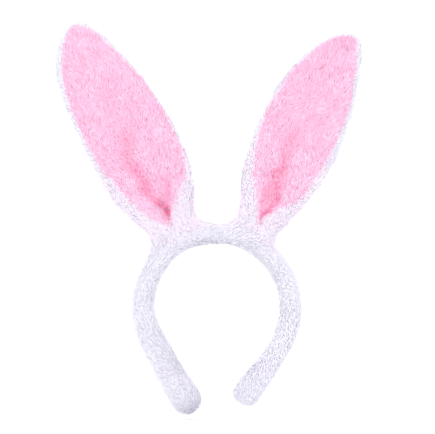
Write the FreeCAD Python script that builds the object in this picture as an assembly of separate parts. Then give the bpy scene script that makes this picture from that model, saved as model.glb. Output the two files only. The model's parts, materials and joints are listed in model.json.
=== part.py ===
# Plush rabbit-ear headband, upright as worn: +Z up, +X to the wearer's left as seen from the
# front, -Y forwards. The origin is the centre of the arc that sits on the head. Millimetres.
#
# The hoop is a sprung strip wrapped in foam and a plush sleeve. It is split into a crown and two
# arms where the real strip bends most. The two ears are padded, cupped blades sewn to the crown,
# and each one bends forwards and backwards at its foot.
import FreeCAD, Part
import math
import os

Vector = FreeCAD.Vector

# Hoop
HEAD_RADIUS = 57.5  # inner arc, about the origin
OUTER_RADIUS = 77.5  # outer arc
OUTER_DROP = 2.5  # the outer arc's centre lies this far below the origin
HOOP_WIDTH = 24.0  # front to back
EDGE_ROUND = 8.0  # rounding of the hoop's long edges
SLEEVE_THICKNESS = 3.5  # plush fabric with its pile
STRIP_DEPTH = 5.0  # from the inner surface to the strip
STRIP_THICKNESS = 2.0
STRIP_WIDTH = 10.0
STRIP_SHORT = 4.0  # the strip stops this far before each arm's straight leg ends
THREAD = 1.2  # section of the closing seam on the inner surface

# Arms: angle below the horizontal where the straight leg starts, leg length and end radius
ARMS = {
    "left": {"side": -1, "turn": 33.0, "leg": 55.0, "tip_radius": 13.3},
    "right": {"side": 1, "turn": 37.0, "leg": 46.0, "tip_radius": 12.5},
}
FLEX_ANGLE = 62.0  # from the top of the hoop to each arm's flex line
ARM_OPENING = 20.0  # how far each arm springs outwards
WEDGE_SPARE = 1.5  # degrees left between an arm and the crown when it is fully open
SPLIT_GAP = 0.3  # from the flex line to the solids on each side of it

# Ears: foot on the hoop (x, z), tilt from upright, half-widths of the root, and the edge of the
# blade as (across, along) from the foot, going from the left side of the foot over the tip
EARS = {
    "left": {
        "foot": (-35.4, 61.2),
        "tilt": -24.2,
        "root_half": 25.0,
        "edge": [
            (-24, -10), (-24, 8), (-25.5, 24), (-36.5, 47), (-43, 78), (-46, 126), (-42.5, 170),
            (-29, 207), (-9, 224), (9, 208), (25.5, 176), (36.5, 130), (40, 78), (35.5, 46),
            (27, 24), (25, 8), (25, -10),
        ],
    },
    "right": {
        "foot": (32.7, 61.2),
        "tilt": 25.2,
        "root_half": 22.5,
        "edge": [
            (-23, -10), (-23, 8), (-25, 24), (-34.5, 46), (-41, 82), (-42.5, 114), (-38.5, 146),
            (-29, 177), (-14.5, 200), (3, 211), (16, 199), (27, 172), (34.5, 138), (37, 98),
            (32, 54), (23.5, 24), (21.5, 8), (21.5, -10),
        ],
    },
}
EAR_HINGE = 16.0  # height of the fold line above the foot
EAR_THICKNESS = 12.0
EAR_REACH = 30.0  # no point of an ear is further than this in front of, behind or below its foot
CUP_RADIUS = 100.0  # the ears cup forwards about a line in front of them
CUP_SPREAD = 45.0  # degrees each side of the middle, past the blade's edges
PANEL = 2.5  # plush panels and the rolled rim
SEAM = 0.8  # seam between the lining and the rim
WIRE = 1.2  # square-section bendable wire
WIRE_DEPTH = 6.0  # from the ear's edge to the wire
FOOT_RADIUS = 9.0  # rounded lower end of the blade, about the fold line
FOOT_CLEARANCE = 0.5
ROOT_HEIGHT = 10.5  # top of the gathered root above the foot
ROOT_SUNK = 7.0  # the root is shaped from this far below the foot, then cut by the hoop
ROOT_DEPTH = 11.0  # half the root's size front to back
TACK_LENGTH = 10.0
TACK_HEIGHT = 1.6
TACK_LEVEL = 30.0  # above the foot

# Hand stitches
STITCH_RADIUS = 0.5
ROOT_STITCHES = 6  # on each side of a root
ROOT_STITCH_LENGTH = 5.0
TIP_STITCHES = 5
TIP_STITCH_STEP = 22.0  # degrees round the arm's end
TIP_STITCH_LENGTH = 6.0

FAR = 400.0  # reaches past every solid
OUTER_CENTRE = Vector(0, 0, -OUTER_DROP)
STRIP_RADIUS = HEAD_RADIUS + STRIP_DEPTH + STRIP_THICKNESS / 2


def write(node, shape):
    solids = shape.Solids
    kept = solids[0] if len(solids) == 1 else Part.makeCompound(solids)
    kept.exportStep("parts/" + node + ".step")
    print(f"{node}: {len(solids)} solid, {shape.Volume / 1000:.2f} cm3, valid {shape.isValid()}")


def at_angle(degrees, radius=1.0):
    """A point in the hoop's plane. Angles run from +X towards +Z."""
    turn = math.radians(degrees)
    return Vector(radius * math.cos(turn), 0, radius * math.sin(turn))


def sided(point, side):
    return Vector(point.x * side, point.y, point.z)


def prism(edges, width):
    """The flat outline in the hoop's plane, made width thick about that plane."""
    wire = Part.Wire(Part.__sortEdges__(edges))
    face = Part.Face(wire)
    face.translate(Vector(0, -width / 2, 0))
    return face.extrude(Vector(0, width, 0))


def arc(start, middle, end):
    return Part.Arc(start, middle, end).toShape()


def line(start, end):
    return Part.LineSegment(start, end).toShape()


def polygon_prism(points):
    closed = points + points[:1]
    return prism([line(a, b) for a, b in zip(closed, closed[1:])], FAR)


# ---------------------------------------------------------------- hoop


def tip_centre(arm):
    inwards = at_angle(-arm["turn"])
    along = at_angle(-arm["turn"] - 90)
    return inwards * (HEAD_RADIUS + arm["tip_radius"]) + along * arm["leg"]


def outer_lean(arm):
    """The direction square to the outer leg, which touches the outer arc and the end's arc."""
    to_tip = tip_centre(arm) - OUTER_CENTRE
    spread = math.acos((OUTER_RADIUS - arm["tip_radius"]) / to_tip.Length)
    return math.degrees(math.atan2(to_tip.z, to_tip.x) + spread)


def arm_edges(arm, inset):
    """One arm's outline from the head arc round the end to the outer arc, with both end points."""
    side = arm["side"]
    centre = tip_centre(arm)
    radius = arm["tip_radius"] - inset
    inner_angle = 180 - arm["turn"]
    outer_angle = outer_lean(arm) + 360
    points = [
        at_angle(-arm["turn"], HEAD_RADIUS + inset),
        centre + at_angle(inner_angle, radius),
        centre + at_angle((inner_angle + outer_angle) / 2, radius),
        centre + at_angle(outer_angle, radius),
        OUTER_CENTRE + at_angle(outer_angle, OUTER_RADIUS - inset),
    ]
    head, leg_end, end_middle, outer_end, outer_start = [sided(p, side) for p in points]
    edges = [line(head, leg_end), arc(leg_end, end_middle, outer_end), line(outer_end, outer_start)]
    return edges, head, outer_start


def hoop(inset):
    """The whole hoop as one rounded solid, made smaller by inset all over."""
    left, left_head, left_outer = arm_edges(ARMS["left"], inset)
    right, right_head, right_outer = arm_edges(ARMS["right"], inset)
    head_top = at_angle(90, HEAD_RADIUS + inset)
    outer_top = OUTER_CENTRE + at_angle(90, OUTER_RADIUS - inset)
    arcs = [arc(left_head, head_top, right_head), arc(left_outer, outer_top, right_outer)]
    width = HOOP_WIDTH - 2 * inset
    solid = prism(left + right + arcs, width)
    rims = [e for e in solid.Edges if abs(abs(e.CenterOfMass.y) - width / 2) < 1e-6]
    return solid.makeFillet(EDGE_ROUND - inset, rims)


def ribbon(depth, thickness, width, short):
    """A band that follows the hoop's inner surface, from depth to depth + thickness."""
    near = HEAD_RADIUS + depth
    far = near + thickness
    ends = []
    edges = []
    for arm in ARMS.values():
        outwards = at_angle(-arm["turn"])
        leg = at_angle(-arm["turn"] - 90) * (arm["leg"] - short)
        corners = [outwards * near, outwards * near + leg, outwards * far + leg, outwards * far]
        corners = [sided(p, arm["side"]) for p in corners]
        edges += [line(a, b) for a, b in zip(corners, corners[1:])]
        ends.append(corners)
    edges.append(arc(ends[0][0], at_angle(90, near), ends[1][0]))
    edges.append(arc(ends[0][3], at_angle(90, far), ends[1][3]))
    return prism(edges, width)


def flex_point(side):
    return sided(at_angle(90 - FLEX_ANGLE, STRIP_RADIUS), side)


def crown_region():
    """Everything above both flex lines."""
    outwards = at_angle(90 - FLEX_ANGLE)
    lift = at_angle(180 - FLEX_ANGLE, SPLIT_GAP)
    low = at_angle(90 - FLEX_ANGLE, STRIP_RADIUS) + lift
    inner = low - outwards * (STRIP_RADIUS - 2)
    outer = low + outwards * FAR
    right = [inner, outer]
    left = [sided(p, -1) for p in reversed(right)]
    return polygon_prism(right + [Vector(0, 0, FAR * 1.5)] + left)


def arm_region(side):
    """Everything below one flex line, less the wedge that the arm swings through."""
    drop = at_angle(-FLEX_ANGLE, SPLIT_GAP)
    pivot = at_angle(90 - FLEX_ANGLE, STRIP_RADIUS) + drop
    inner = pivot - at_angle(90 - FLEX_ANGLE, STRIP_RADIUS - 2)
    outer = pivot + at_angle(90 - FLEX_ANGLE - ARM_OPENING - WEDGE_SPARE, FAR)
    points = [inner, pivot, outer, Vector(FAR, 0, -FAR), Vector(0, 0, -FAR)]
    return polygon_prism([sided(p, side) for p in points])


def tip_stitches(arm):
    """Short threads across the closed end of one arm's sleeve."""
    centre = tip_centre(arm)
    middle = (180 - arm["turn"] + outer_lean(arm) + 360) / 2
    stitches = []
    for index in range(TIP_STITCHES):
        angle = middle + (index - (TIP_STITCHES - 1) / 2) * TIP_STITCH_STEP
        start = sided(centre + at_angle(angle, arm["tip_radius"]), arm["side"])
        start.y = -TIP_STITCH_LENGTH / 2
        stitches.append(Part.makeCylinder(STITCH_RADIUS, TIP_STITCH_LENGTH, start, Vector(0, 1, 0)))
    return Part.makeCompound(stitches)


# ---------------------------------------------------------------- ears


def ear_placement(ear):
    x, z = ear["foot"]
    return FreeCAD.Placement(Vector(x, 0, z), FreeCAD.Rotation(Vector(0, 1, 0), ear["tilt"]))


def ear_curve(ear, inset):
    """The blade's edge from the left of the foot over the tip, moved inwards by inset."""
    points = [Vector(across, 0, along) for across, along in ear["edge"]]
    curve = Part.BSplineCurve()
    curve.interpolate(points)
    if inset == 0:
        return curve
    moved = []
    for point in points:
        tangent = curve.tangent(curve.parameter(point))[0]
        moved.append(point + Vector(tangent.z, 0, -tangent.x) * inset)
    inner = Part.BSplineCurve()
    inner.interpolate(moved)
    return inner


def through_ear(edges):
    """The flat outline made thick enough to reach past both faces of an ear."""
    face = Part.Face(Part.Wire(edges))
    face.translate(Vector(0, -EAR_REACH, 0))
    return face.extrude(Vector(0, 2 * EAR_REACH, 0))


def ear_prism(ear, inset):
    curve = ear_curve(ear, inset)
    return through_ear([curve.toShape(), line(curve.EndPoint, curve.StartPoint)])


def ear_border(ear, inset, width):
    """A strip along the blade's edge from one side of the foot over the tip to the other."""
    outer = ear_curve(ear, inset)
    inner = ear_curve(ear, inset + width)
    right_end = line(outer.EndPoint, inner.EndPoint)
    left_end = line(inner.StartPoint, outer.StartPoint)
    return through_ear([outer.toShape(), right_end, inner.toShape(), left_end])


def cupped_layer(front, back):
    """A slice of the ear's cupped thickness, from front to back of the middle line."""
    edges = []
    corners = []
    for radius in (CUP_RADIUS + front, CUP_RADIUS + back):
        across = radius * math.sin(math.radians(CUP_SPREAD))
        behind = radius * math.cos(math.radians(CUP_SPREAD)) - CUP_RADIUS
        left = Vector(-across, behind, -EAR_REACH)
        right = Vector(across, behind, -EAR_REACH)
        edges.append(arc(left, Vector(0, radius - CUP_RADIUS, -EAR_REACH), right))
        corners.append((left, right))
    (left_front, right_front), (left_back, right_back) = corners
    near, far = edges
    wire = Part.Wire([near, line(right_front, right_back), far, line(left_back, left_front)])
    return Part.Face(wire).extrude(Vector(0, 0, FAR))


def blade_space():
    return Part.makeBox(FAR, FAR, FAR, Vector(-FAR / 2, -FAR / 2, EAR_HINGE))


def sides_of_tip(ear):
    """The blade's space on the left of its tip, and on the right."""
    tip = max(ear["edge"], key=lambda point: point[1])[0]
    left = Part.makeBox(FAR, FAR, FAR, Vector(tip - FAR, -FAR / 2, EAR_HINGE))
    right = Part.makeBox(FAR, FAR, FAR, Vector(tip, -FAR / 2, EAR_HINGE))
    return left, right


def above_fold(inset):
    """The space above the fold line, with a rounded lower end about it."""
    start = Vector(-FAR / 2, 0, EAR_HINGE)
    foot = Part.makeCylinder(FOOT_RADIUS - inset, FAR, start, Vector(1, 0, 0))
    return blade_space().fuse(foot)


def ear_volume(ear, inset, front, back):
    return cupped_layer(front, back).common(ear_prism(ear, inset)).common(above_fold(inset))


def ear_pieces(ear):
    half = EAR_THICKNESS / 2
    inner_front = PANEL - half
    pocket = ear_volume(ear, PANEL, -half, half - PANEL)
    seam_front = SEAM - half
    border = cupped_layer(-half, seam_front).common(ear_border(ear, PANEL, SEAM))
    seam = Part.makeCompound([border.common(space) for space in sides_of_tip(ear)])
    wire = cupped_layer(-WIRE / 2, WIRE / 2).common(ear_border(ear, WIRE_DEPTH, WIRE))
    wire = wire.common(blade_space())
    tack_corner = Vector(-TACK_LENGTH / 2, -EAR_THICKNESS, TACK_LEVEL)
    tack_box = Part.makeBox(TACK_LENGTH, 2 * EAR_THICKNESS, TACK_HEIGHT, tack_corner)
    tack = tack_box.common(cupped_layer(-half, seam_front))
    return {
        "back": ear_volume(ear, 0, -half, half).cut(pocket),
        "lining": ear_volume(ear, PANEL, -half, inner_front).cut(seam).cut(tack),
        "wadding": ear_volume(ear, PANEL, inner_front, half - PANEL).cut(wire),
        "wire": wire,
        "seam": seam,
        "tack": tack,
    }


def root_block(ear):
    """The gathered foot of an ear before the hoop is taken away: an oval, grooved for the blade."""
    oval = Part.Ellipse(Vector(0, 0, 0), ear["root_half"], ROOT_DEPTH).toShape()
    oval.translate(Vector(0, 0, -ROOT_SUNK))
    block = Part.Face(Part.Wire([oval])).extrude(Vector(0, 0, ROOT_HEIGHT + ROOT_SUNK))
    start = Vector(-FAR / 2, 0, EAR_HINGE)
    groove = Part.makeCylinder(FOOT_RADIUS + FOOT_CLEARANCE, FAR, start, Vector(1, 0, 0))
    root = block.cut(groove)
    root.Placement = ear_placement(ear)
    return root


def root_stitches(ear):
    """Threads over the edge between a root and the sleeve, in a row in front and one behind."""
    x, z = ear["foot"]
    middle = math.degrees(math.atan2(z + OUTER_DROP, x))
    half_span = math.degrees(ear["root_half"] / OUTER_RADIUS) * 0.8
    stitches = []
    for index in range(ROOT_STITCHES):
        share = 2 * index / (ROOT_STITCHES - 1) - 1
        angle = middle + share * half_span
        depth = ROOT_DEPTH * math.sqrt(1 - (0.8 * share) ** 2)
        over_round = max(depth - (HOOP_WIDTH / 2 - EDGE_ROUND), 0)
        fall = EDGE_ROUND - math.sqrt(EDGE_ROUND**2 - over_round**2)
        low = OUTER_RADIUS - fall - ROOT_STITCH_LENGTH / 2
        for side in (-1, 1):
            start = OUTER_CENTRE + at_angle(angle, low)
            start.y = side * depth
            stitches.append(
                Part.makeCylinder(STITCH_RADIUS, ROOT_STITCH_LENGTH, start, at_angle(angle))
            )
    return Part.makeCompound(stitches)


# ---------------------------------------------------------------- assembly

whole = hoop(0)
lined = hoop(SLEEVE_THICKNESS)
strip = ribbon(STRIP_DEPTH, STRIP_THICKNESS, STRIP_WIDTH, STRIP_SHORT)
closing_seam = ribbon(0, THREAD, THREAD, 0)
sleeve = whole.cut(lined).cut(closing_seam)
foam = lined.cut(strip)

crown = crown_region()
crown_sleeve = sleeve.common(crown)
for name, ear in EARS.items():
    stitches = root_stitches(ear)
    crown_sleeve = crown_sleeve.cut(stitches)
    write(name + "_ear_root", root_block(ear).cut(whole).cut(stitches))
    write(name + "_root_stitches", stitches)
write("hoop_core_crown", strip.common(crown))
write("crown_padding", foam.common(crown))
write("crown_sleeve", crown_sleeve)
write("crown_seam", closing_seam.common(crown))

for name, arm in ARMS.items():
    region = arm_region(arm["side"])
    stitches = tip_stitches(arm)
    write("hoop_core_" + name + "_arm", strip.common(region))
    write(name + "_arm_padding", foam.common(region))
    write(name + "_arm_sleeve", sleeve.common(region).cut(stitches))
    write(name + "_arm_seam", closing_seam.common(region))
    write(name + "_tip_stitches", stitches)

for name, ear in EARS.items():
    for piece, shape in ear_pieces(ear).items():
        shape.Placement = ear_placement(ear)
        write(name + "_ear_" + piece, shape)

for name, arm in ARMS.items():
    point = flex_point(arm["side"])
    print(f"{name} arm flexes at x {point.x:.2f}, z {point.z:.2f}")
for name, ear in EARS.items():
    point = ear_placement(ear).multVec(Vector(0, 0, EAR_HINGE))
    print(f"{name} ear folds at x {point.x:.2f}, z {point.z:.2f}")
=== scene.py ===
import json
import math

import bmesh
import bpy
import numpy as np
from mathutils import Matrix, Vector
from mathutils.bvhtree import BVHTree
from mathutils.kdtree import KDTree


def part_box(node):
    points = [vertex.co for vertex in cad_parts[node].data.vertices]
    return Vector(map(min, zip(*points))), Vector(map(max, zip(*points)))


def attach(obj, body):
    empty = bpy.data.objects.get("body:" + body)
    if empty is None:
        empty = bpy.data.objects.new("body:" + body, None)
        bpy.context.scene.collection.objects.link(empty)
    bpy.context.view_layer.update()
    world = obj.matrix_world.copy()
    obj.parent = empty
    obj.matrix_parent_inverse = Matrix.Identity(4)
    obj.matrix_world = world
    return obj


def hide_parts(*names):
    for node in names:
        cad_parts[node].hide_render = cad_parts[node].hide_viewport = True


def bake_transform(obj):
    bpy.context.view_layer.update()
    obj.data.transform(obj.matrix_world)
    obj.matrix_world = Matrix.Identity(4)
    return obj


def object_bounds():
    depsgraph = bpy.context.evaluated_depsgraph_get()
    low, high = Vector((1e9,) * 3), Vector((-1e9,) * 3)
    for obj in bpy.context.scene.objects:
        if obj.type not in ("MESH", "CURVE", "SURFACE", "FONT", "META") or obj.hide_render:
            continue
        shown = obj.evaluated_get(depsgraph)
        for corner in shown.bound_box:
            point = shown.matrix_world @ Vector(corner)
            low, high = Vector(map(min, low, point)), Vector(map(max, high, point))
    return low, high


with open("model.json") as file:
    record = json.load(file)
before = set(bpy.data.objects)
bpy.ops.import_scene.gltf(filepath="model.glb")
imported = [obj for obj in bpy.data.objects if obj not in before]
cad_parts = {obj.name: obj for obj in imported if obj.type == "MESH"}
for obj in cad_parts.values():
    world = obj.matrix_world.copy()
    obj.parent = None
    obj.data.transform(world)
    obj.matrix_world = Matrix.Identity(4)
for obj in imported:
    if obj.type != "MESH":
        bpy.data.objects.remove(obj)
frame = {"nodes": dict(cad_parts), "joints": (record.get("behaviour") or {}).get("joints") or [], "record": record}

MM = 0.001
CAD_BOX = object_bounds()
JOINTS = {joint["name"]: joint for joint in frame["joints"]}
RANDOM = np.random.default_rng(11)

# Hoop, from the head seat and the boxes of the sleeves
HEAD_RADIUS = frame["record"]["mounts"][0]["dims"]["r_mm"]
OUTER_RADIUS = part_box("right_arm_sleeve")[1][0] / MM
OUTER_DROP = OUTER_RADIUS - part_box("crown_sleeve")[1][2] / MM
HALF_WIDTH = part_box("crown_sleeve")[1][1] / MM
# The inner arc ends turn degrees below level, and a straight leg follows it.
# Each swell is (distance from the top, spread, inwards, outwards): the stuffing is a little uneven.
ARMS = {
    "left": {"side": -1, "turn": 33.0, "leg": 56.5, "tip_radius": 13.3,
             "swells": [(122, 27, 3.0, 0.0), (176, 12, 1.0, 0.0), (150, 20, 0.0, 0.5)]},
    "right": {"side": 1, "turn": 37.0, "leg": 47.0, "tip_radius": 12.5,
              "swells": [(36, 15, 1.0, 0.0), (138, 18, -1.8, 0.0), (70, 30, 0.0, 0.8),
                         (150, 20, 0.0, 0.8)]},
}
PILE_INSET = 1.3  # from the outside of the pile down to the skin
SQUARENESS = 2.5  # exponent of the hoop's section: 2 is an oval
END_FULLNESS = 0.7  # exponent of the width at an arm's rounded end: 1 is an ellipse
LEG_NAP = (-0.57, -0.82)  # the nap on a leg, as (x, z), with z turned round on the left
LEG_NAP_FROM = (0.45, 0.7)  # how far down it takes over, in head radii
NAP_OUTWARDS = 0.2

# Skin
VOXEL = 2.4
PRESSURE = 4.0
PUFF_FRAMES = 20
PUFF_LIMIT = 1.2
STRETCH_STIFFNESS = 12.0
BENDING_STIFFNESS = 0.4
EAR_CUT = 7.5  # where an ear's skin parts from the hoop's, above the foot
ROOT_ZONE = {"below": (-16, -4), "above": (14, 24), "beside": (44, 56)}  # smoothed round an ear's foot
ROOT_SMOOTHING = (0.5, 14)  # share and rounds, where the ears meet the hoop
SKIN_SMOOTHING = (0.35, 2)  # and all over

# Ears: points are (across, along) from the foot on the hoop. The rim and the lining each have a left
# and a right edge, from the foot to the tip.
EAR_HINGE = 16.0  # height of the fold's axis above the foot
CUP_RADIUS = 100.0
CUP_TIGHTER = 45.0  # taken off the radius at the foot
CUP_OPENS = 90.0  # height where nothing more is taken off
CUP_STARTS = (-12, 30)  # the cup deepens over these heights
# Each is (height, half thickness)
EAR_HALF_THICKNESS = ((-10, 5.5), (0, 8.6), (6, 9.2), (14, 8.4), (30, 6.4), (46, 5.3), (70, 5.0),
                      (230, 4.6))
EDGE_ROUND = 10.0  # the ear thins to its rim over this much
TIP_DROP = 16.0  # at the tip the rim is drawn in towards a point this far below it
DENTS = ((38.0, 17, 0.9), (17.0, 18, 0.35))  # size across, seed and depth
BACK_DENTS = 0.5  # the back's share of the front's dents
LEAST_THICKNESS = 1.8  # left under the creases
EARS = {
    "left": {
        "rim": (
            [(-38, -9), (-29.5, 0), (-25, 9), (-27, 23), (-38, 47), (-43.5, 78), (-46, 126),
             (-43, 171), (-29, 207), (-5.5, 222.5)],
            [(38, -8), (28.5, 1), (25.5, 10), (28.5, 24), (37, 46), (41, 78), (37, 130),
             (25.5, 176), (10, 209), (-5.5, 222.5)]),
        "lining": (
            [(-2, 12), (-11, 21), (-20, 36), (-28, 55), (-34, 76), (-39.5, 104),
             (-41, 136), (-37.5, 170), (-26, 202.5), (-5.5, 218)],
            [(-2, 12), (9, 25), (20, 37), (32.5, 54), (39, 77), (37, 104), (33.5, 136),
             (24, 170), (9, 204), (-5.5, 218)]),
        "crease": [(-1, 8), (1, 25), (-2, 40), (-8, 60), (-10, 80), (-4, 110)],
        "branch": [(0, 12), (6, 30), (11, 44), (15, 62)],
    },
    "right": {
        "rim": (
            [(-36, -8), (-27.5, 1), (-24.5, 10), (-25, 24), (-34.5, 46), (-41, 82),
             (-42.5, 114), (-38.5, 146), (-29, 177), (-15.5, 200), (4.5, 212)],
            [(34, -12), (25, -2), (20.5, 8), (22.5, 23), (33, 54), (38.5, 98), (35.5, 138),
             (27.5, 172), (17.5, 200.5), (4.5, 212)]),
        "lining": (
            [(-1, 12), (-8, 24), (-16, 38), (-27, 54), (-33.5, 76), (-38, 100),
             (-38.5, 120), (-34.5, 148), (-26, 176), (-13, 197), (4.5, 207)],
            [(-1, 12), (6, 24), (14, 37), (25, 52), (29.5, 76), (32, 104), (30.5, 140),
             (22.5, 172), (14.5, 197), (4.5, 207)]),
        "crease": [(-1, 8), (1, 24), (4, 36), (1, 46), (-3, 74), (-7, 112)],
        "branch": [(-1, 12), (-5, 30), (-9, 50), (-12, 72)],
    },
}
CREASE = {"narrow": 3.4, "wide": 11.0, "depth": 6.0, "end": 118.0}
BRANCH = {"narrow": 2.8, "wide": 6.0, "depth": 3.4, "end": 66.0}
CREASE_START = 10.0
CREASE_FADE = (4, 30)  # it deepens over these heights
BANK_HEIGHT = 0.3  # a crease's raised banks, as a share of its depth
BANK_PLACE = 1.9  # and their distance from its middle, in widths

# Linings, on the front of the ears
LINING_RAISED = 0.9
LINING_RIM = 2.5  # the lining rises over this much of its rim
LINING_SUNK = 0.25
LINING_BACK = 0.8
FAR_FRONT = -60.0  # rays at the ears start here
JUST_IN_FRONT = -14.0  # where a ray misses, the skin nearest to this depth is taken
LINING_SEARCH = 4.0  # a white root this near the lining, behind or in front of it, is left out

# Colour of the folds, painted shade laid on the lining's pile as a deeper, more saturated pink: 1 gives the full
# painted fold shade
PAINTED_CREASE_SHADE = CREASE | {"narrow": 2.8, "wide": 9.0, "depth": 0.75}
PAINTED_BRANCH_SHADE = BRANCH | {"depth": 0.8}
PAINTED_BROAD_SHADE = {"narrow": 9.0, "wide": 20.0, "depth": 0.12, "end": 175.0}
BLUSH = {"strength": 0.6, "rises": (-8, 10), "falls": (60, 120)}  # a pink bloom low on the ears' white rim

# Pile: lengths in millimetres, angles in radians, locks per square millimetre
WHITE_LOOK = {"density": 2.1, "length": 4.8, "width": 0.64, "swirl": 0.5, "swirl_size": 28.0, "seed": 3,
              "rise": 0.5, "clump": 12, "pull": 0.2, "streaks": 0.2, "stray": 0.2}
PINK_LOOK = {"density": 3.1, "length": 6.6, "width": 0.64, "swirl": 0.65, "swirl_size": 38.0, "seed": 21,
             "rise": 0.36, "clump": 14, "pull": 0.26, "streaks": 0.34, "stray": 0.12}
MOST_LOCKS = 19500  # in one piece
WHITE_OVERLAP = (0.8, 4.5)  # the white pile thins out over this much of the lining's rim
RIM_SHARE = 0.6  # length of the pink locks at the rim, as a share of the full length
RIM_WIDTH = 9.0  # they reach the full length this far in
EAR_FAN = 0.5
LINING_FAN = 0.25
FAN_WIDTH = 40.0  # where the locks lean out by the fan's value
ON_EAR = (-4, 22)  # the hoop's nap turns into the ear's between these heights

# One lock
SPREAD = {"length": (0.7, 1.25), "width": (0.75, 1.3), "rise": (0.7, 1.3), "pull": (0.5, 1.3)}
LOCK_SUNK = 0.4  # depth of its foot in the skin
LOCK_LEVELS = (0.1, 0.5, 0.85)  # colour from root to tip, at its foot, half way and at its tip
LOCK_RIDGE = 0.45  # height of its ridge as a share of its width
LOCK_CORNERS = np.array([0, 1, 4, 3, 1, 2, 5, 4, 2, 0, 3, 5, 3, 4, 6, 4, 5, 6, 5, 3, 6, 2, 1, 0])
LOCK_SIZES = np.array([4, 4, 4, 3, 3, 3, 3])
LOCK_POINTS = 7
FINE_SWIRL = 0.4  # strength of the smaller swirls, as a share of the large ones
FINE_SIZE = 3.5  # and how many times smaller they are
TIP_RISE = 0.4  # a lock's outer half rises this much less
LOCK_TONE = 0.08

# Thread
THREAD_RADIUS = 0.35
SEAM = {"step": 7.0, "slant": 0.45, "length": 4.5}
GATHERS = {"count": 6, "radius": 3.2, "length": 4.0}
WHIPS = {"count": 9, "reach": 24, "height": 3.0, "depth": 16.0, "slant": 0.35, "length": 4.5}
LINING_SEAM = {"step": 6.0, "length": 3.0}
TACK = {"height": 30.0, "proud": 0.8, "slant": 0.25, "length": 7.0, "thickness": 1.3}

# Studio
FLOOR_GAP = 0.006  # below the arms' tips, in metres
FLOOR_REACH = 40.0
LIGHTS = {  # direction, strength, spread in degrees
    "key_light": ((0.55, 0.75, -0.9), 0.8, 50),
    "fill_light": ((-0.7, 0.7, -0.4), 0.3, 60),
    "back_light": ((0.3, -0.8, -0.5), 0.4, 60),
}
WORLD_STRENGTH = 1.02
CAMERA_DISTANCE = 2.2
CAMERA_ASIDE = (0.0085, 0.0002)  # right of and above the middle of the object
VIEW_WIDTH = 0.4002
SENSOR_WIDTH = 36.0


# ---- maths helpers


def unit(vectors):
    return vectors / np.maximum(np.linalg.norm(vectors, axis=-1, keepdims=True), 1e-9)


def smoothstep(low, high, values):
    share = np.clip((values - low) / (high - low), 0, 1)
    return share * share * (3 - 2 * share)


def smooth_curve(points, per_span=12):
    """A smooth curve through the points."""
    p = np.array(points, float)
    p = np.vstack([2 * p[0] - p[1], p, 2 * p[-1] - p[-2]])
    t = np.linspace(0, 1, per_span, endpoint=False)[:, None]
    spans = []
    for a, b, c, d in zip(p, p[1:], p[2:], p[3:]):
        cubic = (3 * b - a - 3 * c + d) * t**3
        spans.append(0.5 * (2 * b + (c - a) * t + (2 * a - 5 * b + 4 * c - d) * t**2 + cubic))
    return np.vstack(spans + [p[-2:-1]])


def edge_pair(outline, per_span=12):
    """An outline's two edges as smooth curves that end together in a rounded tip."""
    left, right = outline
    whole = smooth_curve(left + right[-2::-1], per_span)
    tip = (len(left) - 1) * per_span
    return whole[: tip + 1], whole[tip:][::-1]


def evenly(line, count):
    """Points spaced evenly along a line."""
    steps = np.linalg.norm(np.diff(line, axis=0), axis=1)
    along = np.concatenate([[0], np.cumsum(steps)])
    wanted = np.linspace(0, along[-1], count)
    return np.stack([np.interp(wanted, along, line[:, k]) for k in range(line.shape[1])], 1)


def ripple(points, size, seed, waves=7):
    """Smooth noise from about -1 to 1 over points, with features about size across."""
    choice = np.random.default_rng(seed)
    total = np.zeros(len(points))
    for _ in range(waves):
        direction = unit(choice.normal(size=points.shape[1]))
        step = 2 * math.pi / (size * choice.uniform(0.8, 2.2))
        total += np.sin(points @ direction * step + choice.uniform(0, 2 * math.pi))
    return total / math.sqrt(waves * 2)


def grid_faces(rows, columns, around=False):
    """Quads of a grid of vertices numbered row by row."""
    r, c = np.meshgrid(np.arange(rows - 1), np.arange(columns if around else columns - 1), indexing="ij")
    after = (c + 1) % columns
    quads = np.stack([r * columns + c, r * columns + after, (r + 1) * columns + after,
                      (r + 1) * columns + c], -1)
    return quads.reshape(-1, 4)


# ---- mesh helpers


def put(name, data):
    """A new object in the scene."""
    thing = bpy.data.objects.new(name, data)
    bpy.context.collection.objects.link(thing)
    return thing


def make_mesh(name, points, faces, material=None):
    """A smooth piece from points in millimetres."""
    mesh = bpy.data.meshes.new(name)
    mesh.from_pydata((points * MM).tolist(), [], faces)
    mesh.update()
    if material:
        mesh.materials.append(material)
    mesh.shade_smooth()
    return put(name, mesh)


def tidy_mesh(piece, merge=0.02):
    """Joins vertices that lie on each other, closes holes and turns every face outwards."""
    work = bmesh.new()
    work.from_mesh(piece.data)
    bmesh.ops.remove_doubles(work, verts=work.verts, dist=merge * MM)
    bmesh.ops.dissolve_degenerate(work, dist=1e-6, edges=work.edges)
    holes = [edge for edge in work.edges if edge.is_boundary]
    if holes:
        bmesh.ops.holes_fill(work, edges=holes)
    bmesh.ops.recalc_face_normals(work, faces=work.faces)
    work.to_mesh(piece.data)
    work.free()
    piece.data.update()


def apply_modifiers(piece):
    graph = bpy.context.evaluated_depsgraph_get()
    mesh = bpy.data.meshes.new_from_object(piece.evaluated_get(graph))
    piece.modifiers.clear()
    piece.data = mesh


def values_of(items, key, width, kind=float):
    values = np.empty(len(items) * width, kind)
    items.foreach_get(key, values)
    return values.reshape(-1, width)


def read_points(mesh):
    return values_of(mesh.vertices, "co", 3) / MM


def write_points(mesh, points):
    mesh.vertices.foreach_set("co", (points * MM).ravel())
    mesh.update()


def mesh_arrays(piece):
    """Vertices in millimetres, their normals, and triangles."""
    mesh = piece.data
    mesh.calc_loop_triangles()
    normals = values_of(mesh.vertices, "normal", 3)
    return read_points(mesh), normals, values_of(mesh.loop_triangles, "vertices", 3, int)


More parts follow.
